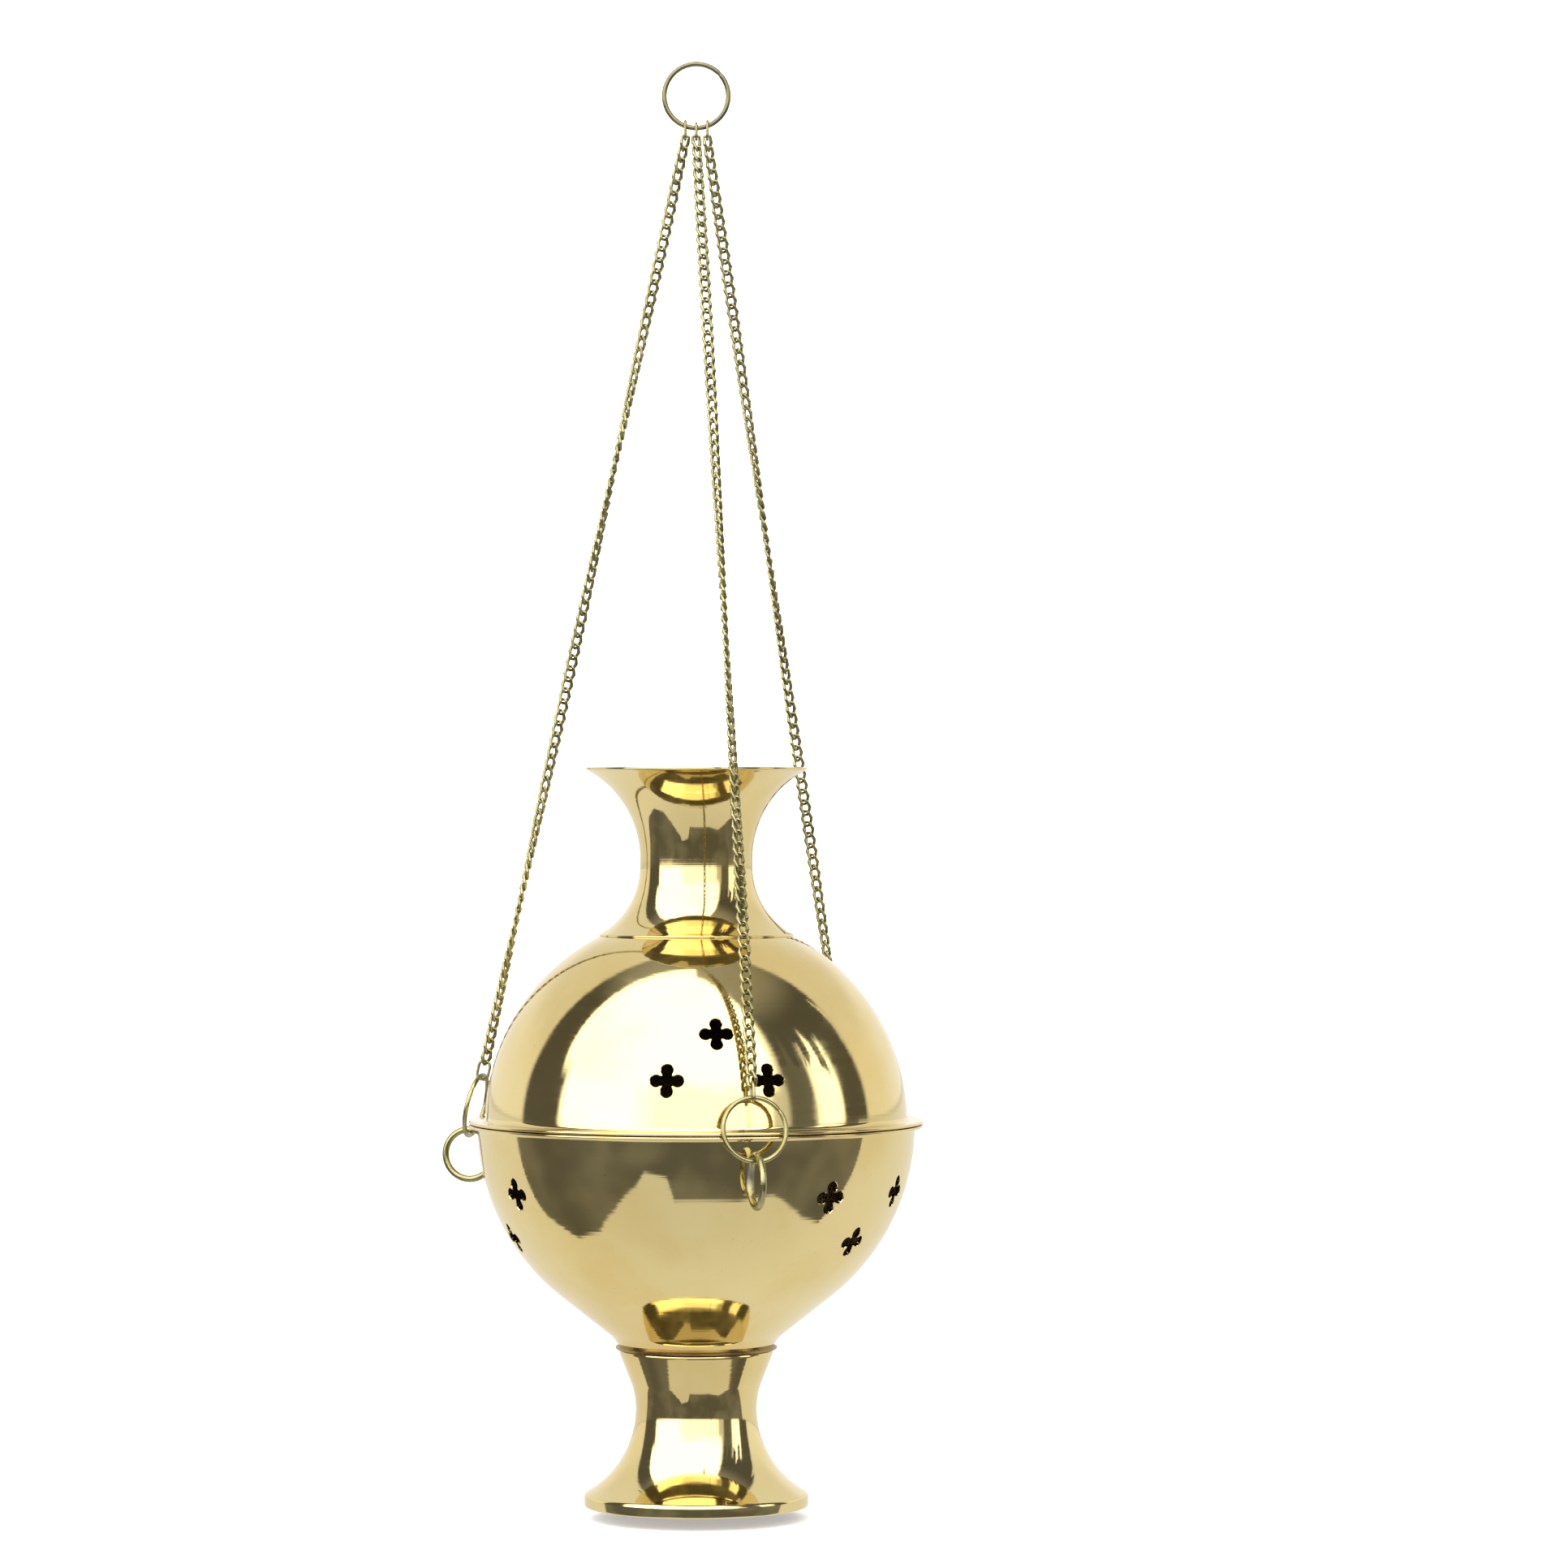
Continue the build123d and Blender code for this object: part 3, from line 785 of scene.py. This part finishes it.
def make_chain(side, material):
    """Chain, its end link, its lower ring and its lug."""
    chain = Chain(side)
    curb = curb_path()
    line = [chain.link(curb, i) for i in range(1, chain.count)]
    links = make_links(f"curb_chain_{side}", line, material, curb_radius(curb))
    settle(links, f"chain_{side}", f"chain_{side}")
    bottom = chain.first_bow + chain.count * chain.pitch + END_LINK_H
    oval = chain.place(oval_path(END_LINK_H, END_LINK_HALF_W), bottom)
    end = make_links(f"oval_link_{side}", [oval], material)
    settle(end, f"chain_{side}", f"end_link_{side}")
    path = circle(chain.seat - chain.down * RING_R, RING_R, chain.across, chain.down)
    ring = wires(f"wire_ring_{side}", [path], [butt_jointed(RING_WIRE, RING_JOINT_AT)], WIRE_SIDES, material)
    settle(ring, f"ring_{side}", f"ring_{side}")
    make_lug(side, chain, material)


def make_lug(side, chain, material):
    """Round loop soldered to the bowl, swelling where it meets it."""
    out, up = outward(chain.azimuth), np.array((0, 0, 1.0))
    path = circle(out * LUG_REACH + up * chain.lug_z, LUG_R, out, up)
    gap = np.linalg.norm(path - up * SEAM_Z, axis=1) - BOWL_R - LUG_WIRE / 2
    radius = LUG_WIRE / 2 + SOLDER_SWELL * np.exp(-np.maximum(gap, 0) / SOLDER_REACH)
    lug = wires(f"wire_lug_{side}", [path], [radius], WIRE_SIDES, material)
    work = bmesh.new()
    inside = (BOWL_R - WALL / 3) * MM
    bmesh.ops.create_uvsphere(work, u_segments=BALL_STEPS, v_segments=BALL_STEPS // 2, radius=inside)
    bmesh.ops.translate(work, verts=work.verts, vec=(0, 0, SEAM_Z * MM))
    ball = make_object("ball", np.zeros((0, 3)), [], [])
    work.to_mesh(ball.data)
    work.free()
    carve(lug, ball)
    smooth(lug.data, WIRE_SHARP_ANGLE)
    settle(lug, "vessel", f"lug_{side}")


def make_top(material, ring_material):
    """Top ring, the three oval links on it and the first curb links."""
    ring_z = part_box("top_ring")[1].z / MM - TOP_RING_WIRE / 2 - TOP_RING_R
    path = circle(np.array((0, 0, ring_z)), TOP_RING_R, np.array((1.0, 0, 0)), np.array((0, 0, 1.0)))
    radii = [butt_jointed(TOP_RING_WIRE, TOP_JOINT_AT)]
    ring = wires("wire_top_ring", [path], radii, WIRE_SIDES, ring_material)
    settle(ring, "top_ring", "top_ring")
    chains = [Chain(side) for side in SIDES]
    bow_z = lowest("top_links") + LINK_WIRE / 2
    ovals = []
    for chain in chains:
        rise = TOP_RING_R - sqrt(TOP_RING_R ** 2 - chain.top_x ** 2)
        clearance = ((TOP_RING_WIRE + LINK_WIRE) / 2 + PLAY) / cos(asin(chain.top_x / TOP_RING_R))
        height = ring_z - TOP_RING_R + rise + clearance - bow_z
        ovals.append(oval_path(height, TOP_LINK_HALF_W) + np.array((chain.top_x, 0, bow_z)))
    settle(make_links("oval_top_links", ovals, material), "top_links", "top_links")
    curb = curb_path()
    firsts = [chain.link(curb, 0) for chain in chains]
    second = make_links("curb_second_links", firsts, material, curb_radius(curb))
    settle(second, "swing", "second_links")


# ---------------------------------------------------------------- studio and camera
CAMERA_PLACE = (0.027, -1.8, -0.2209)
CAMERA_LENS = 134.2
CAMERA_SENSOR = 36.0
FLOOR_GAP = 4.0
FLOOR_STEPS = 96
FLOOR_GLOW = 0.35
ROOM_R = 6.0
ROOM_GLOW = 1.2
WARM_WHITE = (1.0, 0.985, 0.95, 1.0)
PAPER_LIGHT = 0.95
WINDOW = 3.6
# Light at the level of the eye, by azimuth in degrees, as a share of the window's
LEVEL_LIGHT = (
    (-180, 0.30), (-110, 0.30), (-107, 0.033), (-81, 0.033), (-78, 0.95), (-38, 0.95), (-22, 0.64),
    (22, 0.62),
    (27, 0.66), (29, 0.30), (31, 0.66), (38, 0.70), (40, 0.35), (42, 0.62), (44, 0.25), (52, 0.22),
    (55, 0.045), (69, 0.05), (72, 0.60), (87, 0.70), (90, 0.033), (107, 0.033), (110, 0.30), (180, 0.30),
)
# How far down the dark front of the room reaches, by azimuth, as the sine of the angle below level
DARK_DEPTH = (
    (-180, 0.0), (-108, 0.0), (-105, 0.50), (-93, 0.70), (-72, 0.73), (-52, 0.63), (-33, 0.46), (-28, 0.36),
    (-15, 0.42), (-13, 0.61), (27, 0.60), (46, 0.53), (73, 0.64), (89, 0.63), (95, 0.30), (99, 0.0),
    (180, 0.0),
)


def blended(tree, first, second, share):
    """Value that goes from the first to the second with the share."""
    kept = maths(tree, "MULTIPLY", first, maths(tree, "SUBTRACT", 1.0, share))
    return maths(tree, "ADD", kept, maths(tree, "MULTIPLY", second, share))


def by_azimuth(tree, azimuth, stops):
    """Value from stops of (azimuth in degrees, value)."""
    place = maths(tree, "MULTIPLY_ADD", azimuth, 0.5 / pi, 0.5)
    return ramp(tree, place, [(angle / 360 + 0.5, value) for angle, value in stops])


def make_world():
    """Room that the brass reflects: a bright window in front, dark jambs beside it, white paper behind."""
    world = bpy.data.worlds.new("studio")
    bpy.context.scene.world = world
    world.use_nodes = True
    tree = world.node_tree
    direction = tree.nodes.new("ShaderNodeTexCoord").outputs["Generated"]
    x, y, z = shader(tree, "SeparateXYZ", direction).outputs
    azimuth = maths(tree, "ARCTAN2", x, maths(tree, "MULTIPLY", y, -1.0))
    level = maths(tree, "MULTIPLY", by_azimuth(tree, azimuth, LEVEL_LIGHT), WINDOW)
    paper = step(tree, y, 0.28, 0.33, 1.0, 0.0)
    lean = maths(tree, "MULTIPLY_ADD", z, -0.30, y)
    jamb = maths(tree, "MULTIPLY", step(tree, lean, -0.21, -0.18), paper)
    right_wall = maths(tree, "MULTIPLY", step(tree, azimuth, 0.80, 0.95), paper)
    shade = maths(tree, "MAXIMUM", jamb, right_wall)
    open_sky = step(tree, y, -0.05, 0.30, 0.90 * WINDOW, PAPER_LIGHT)
    dark = step(tree, z, 0.75, 0.98, 0.11, 0.42)
    high = blended(tree, open_sky, dark, shade)
    around = shader(tree, "CombineXYZ", azimuth, 0.0, z).outputs[0]
    leaves = noise(tree, around, 1.0, 3.0, 0.6, stretch=(9, 1, 1.5))
    gloom = noise(tree, direction, 1.6, 2.0)
    hanging = step(tree, maths(tree, "MULTIPLY_ADD", leaves, 1.3, z), 1.15, 1.25)
    hazy = step(tree, maths(tree, "MULTIPLY_ADD", gloom, 0.3, z), 0.44, 0.66)
    above = blended(tree, hazy, hanging, right_wall)
    upper = blended(tree, level, high, above)
    depth = by_azimuth(tree, azimuth, DARK_DEPTH)
    below = maths(tree, "ADD", z, depth)
    front_dark = step(tree, below, -0.015, 0.015)
    floor = step(tree, y, -0.9, 0.4, 0.80, PAPER_LIGHT)
    lower = blended(tree, floor, step(tree, gloom, 0.35, 0.65, 0.13, 0.24), front_dark)
    over = step(tree, z, -0.02, 0.02)
    light = blended(tree, lower, upper, over)
    background = tree.nodes["Background"]
    background.inputs["Color"].default_value = WARM_WHITE
    tree.links.new(light, background.inputs["Strength"])


def plain_material(name, colour, glow):
    """Pale matt paper that also glows a little."""
    material, tree, surface, place = new_material(name, Metallic=0.0, Roughness=0.9, Emission_Strength=glow)
    surface.inputs["Emission Color"].default_value = (1.0, 1.0, 1.0, 1.0)
    grain = noise(tree, place, 30.0)
    pale = tuple(0.98 * channel for channel in colour)
    tree.links.new(tint(tree, grain, colour, pale), surface.inputs["Base Color"])
    return material


def make_stage():
    """Pale paper floor just under the foot, and a white room round it that only the camera sees."""
    turns = np.linspace(0, 2 * pi, FLOOR_STEPS, endpoint=False)
    disc = np.column_stack((np.cos(turns), np.sin(turns), np.zeros(FLOOR_STEPS))) * ROOM_R / MM
    disc[:, 2] = BASE_Z - FLOOR_GAP
    paper = plain_material("floor_paper", PAPER, FLOOR_GLOW)
    floor = make_object("floor", disc, [list(range(FLOOR_STEPS))], [paper])
    work = bmesh.new()
    bmesh.ops.create_uvsphere(work, u_segments=64, v_segments=32, radius=ROOM_R)
    room = make_object("room", np.zeros((0, 3)), [], [plain_material("room_white", PAPER, ROOM_GLOW)])
    work.to_mesh(room.data)
    work.free()
    room.visible_diffuse = False
    room.visible_shadow = False
    for backdrop in (floor, room):
        backdrop.visible_glossy = False


def make_camera():
    """Level camera in front of the object, whose axis stands left of the picture's middle."""
    camera = bpy.data.objects.new("camera", bpy.data.cameras.new("camera"))
    bpy.context.scene.collection.objects.link(camera)
    camera.location = CAMERA_PLACE
    camera.rotation_euler = (pi / 2, 0, 0)
    camera.data.sensor_width = CAMERA_SENSOR
    camera.data.lens = CAMERA_LENS
    bpy.context.scene.camera = camera


def set_view():
    """Plain tone curve, so that white paper stays white."""
    settings = bpy.context.scene.view_settings
    settings.view_transform = "Standard"
    settings.look = "None"


def main():
    make_camera()
    set_view()
    make_world()
    make_stage()
    brass = polished_brass(DARK_LINES)
    make_shells(brass, stained_brass())
    drawn = wire_brass("wire_brass", WIRE, BROWN_WIRE)
    make_top(drawn, wire_brass("ring_brass", GREY_WIRE, BROWN_WIRE))
    for side in SIDES:
        make_chain(side, drawn)
    steel = bolt_steel()
    for node in ("foot_bolt", "foot_washer", "foot_nut"):
        for slot in frame["nodes"][node].material_slots:
            slot.material = steel


main()
